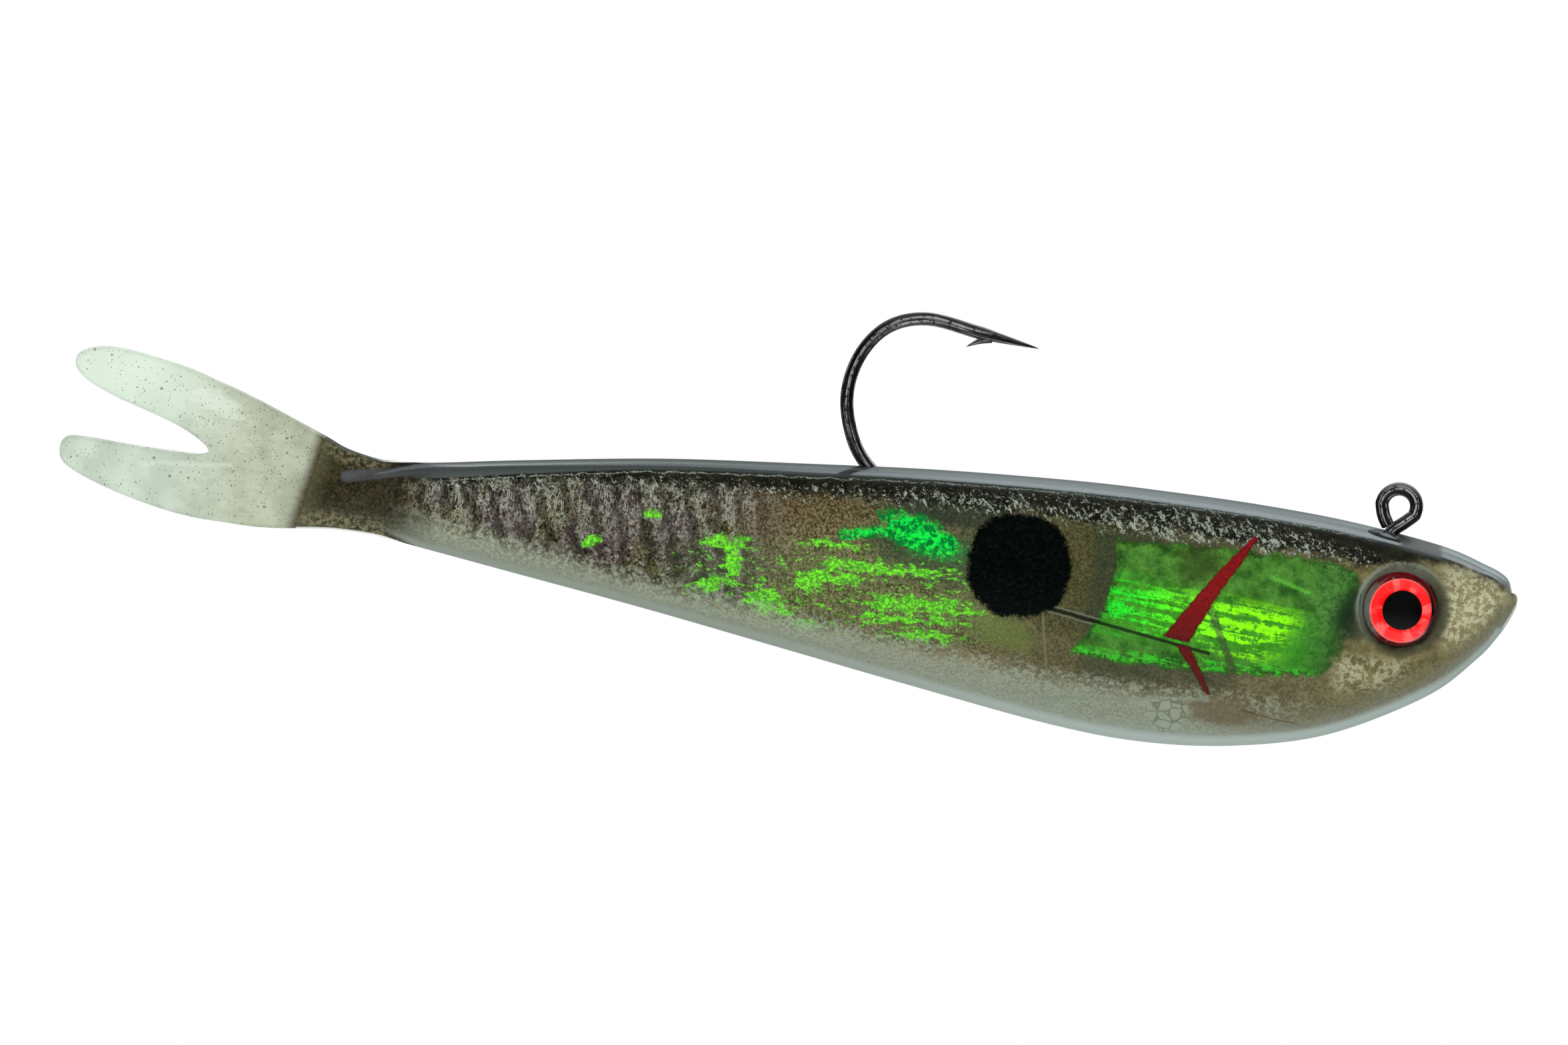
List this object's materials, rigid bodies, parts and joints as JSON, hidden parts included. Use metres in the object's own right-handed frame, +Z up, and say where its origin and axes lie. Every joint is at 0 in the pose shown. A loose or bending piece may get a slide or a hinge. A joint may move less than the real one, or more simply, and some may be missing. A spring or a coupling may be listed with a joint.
{
  "type": "swimbait",
  "caption": "Soft-plastic minnow lure with a lead head on a jig hook, 3-D eyes, clear skin over printed films, and a forked tail that flexes sideways behind the hook.",
  "frame": {"origin": "centre of the line-tie eye, the wire ring on top of the head", "axes": "+X runs along the body to the nose, +Y to the fish's left side, +Z up through its back"},
  "size_m": [0.127, 0.0136, 0.035],
  "materials": {
    "hook_steel": "gloss",
    "lead": "matte",
    "clear_plastisol": "gloss",
    "tail_plastisol": "gloss",
    "dark_back": "gloss",
    "pearl_belly": "satin",
    "print_film": "satin",
    "gill_foil": "gloss",
    "gill_red": "satin",
    "black_print": "satin",
    "eye_cup": "gloss",
    "eye_foil": "gloss",
    "eye_lens": "polished"
  },
  "bodies": {
    "front": {"jig_hook": "hook_steel", "head_weight": "lead", "front_skin": "clear_plastisol", "front_back": "dark_back", "front_belly": "pearl_belly", "right_front_film": "print_film", "left_front_film": "print_film", "right_gill_foil": "gill_foil", "left_gill_foil": "gill_foil", "right_gill_slash": "gill_red", "left_gill_slash": "gill_red", "right_shoulder_spot": "black_print", "left_shoulder_spot": "black_print", "right_eye_cup": "eye_cup", "right_eye_iris": "eye_foil", "right_eye_pupil": "black_print", "right_eye_lens": "eye_lens", "left_eye_cup": "eye_cup", "left_eye_iris": "eye_foil", "left_eye_pupil": "black_print", "left_eye_lens": "eye_lens"},
    "mid": {"mid_skin": "clear_plastisol", "mid_back": "dark_back", "mid_belly": "pearl_belly", "right_mid_film": "print_film", "left_mid_film": "print_film"},
    "rear": {"rear_skin": "clear_plastisol", "rear_back": "dark_back", "rear_belly": "pearl_belly", "right_rear_film": "print_film", "left_rear_film": "print_film"},
    "tail": {"tail_wrist": "dark_back", "tail_fin": "tail_plastisol"},
    "upper_lobe": {"upper_lobe": "tail_plastisol"},
    "lower_lobe": {"lower_lobe": "tail_plastisol"}
  },
  "joints": [
    {"name": "body_flex", "type": "hinge", "parent": "front", "child": "mid", "pos_m": [-0.055, 0, 0], "axis": [0, 0, 1], "range_deg": [-20, 20], "stiffness_Nm_per_rad": 0.008},
    {"name": "rear_flex", "type": "hinge", "parent": "mid", "child": "rear", "pos_m": [-0.073, 0, 0], "axis": [0, 0, 1], "range_deg": [-25, 25], "stiffness_Nm_per_rad": 0.004},
    {"name": "tail_flex", "type": "hinge", "parent": "rear", "child": "tail", "pos_m": [-0.09, 0, 0], "axis": [0, 0, 1], "range_deg": [-45, 45], "stiffness_Nm_per_rad": 0.0008},
    {"name": "upper_lobe_flex", "type": "hinge", "parent": "tail", "child": "upper_lobe", "pos_m": [-0.1039, 0, 0], "axis": [0, 0, 1], "range_deg": [-35, 35], "stiffness_Nm_per_rad": 0.0001},
    {"name": "lower_lobe_flex", "type": "hinge", "parent": "tail", "child": "lower_lobe", "pos_m": [-0.1039, 0, 0], "axis": [0, 0, 1], "range_deg": [-35, 35], "stiffness_Nm_per_rad": 0.0001}
  ]
}
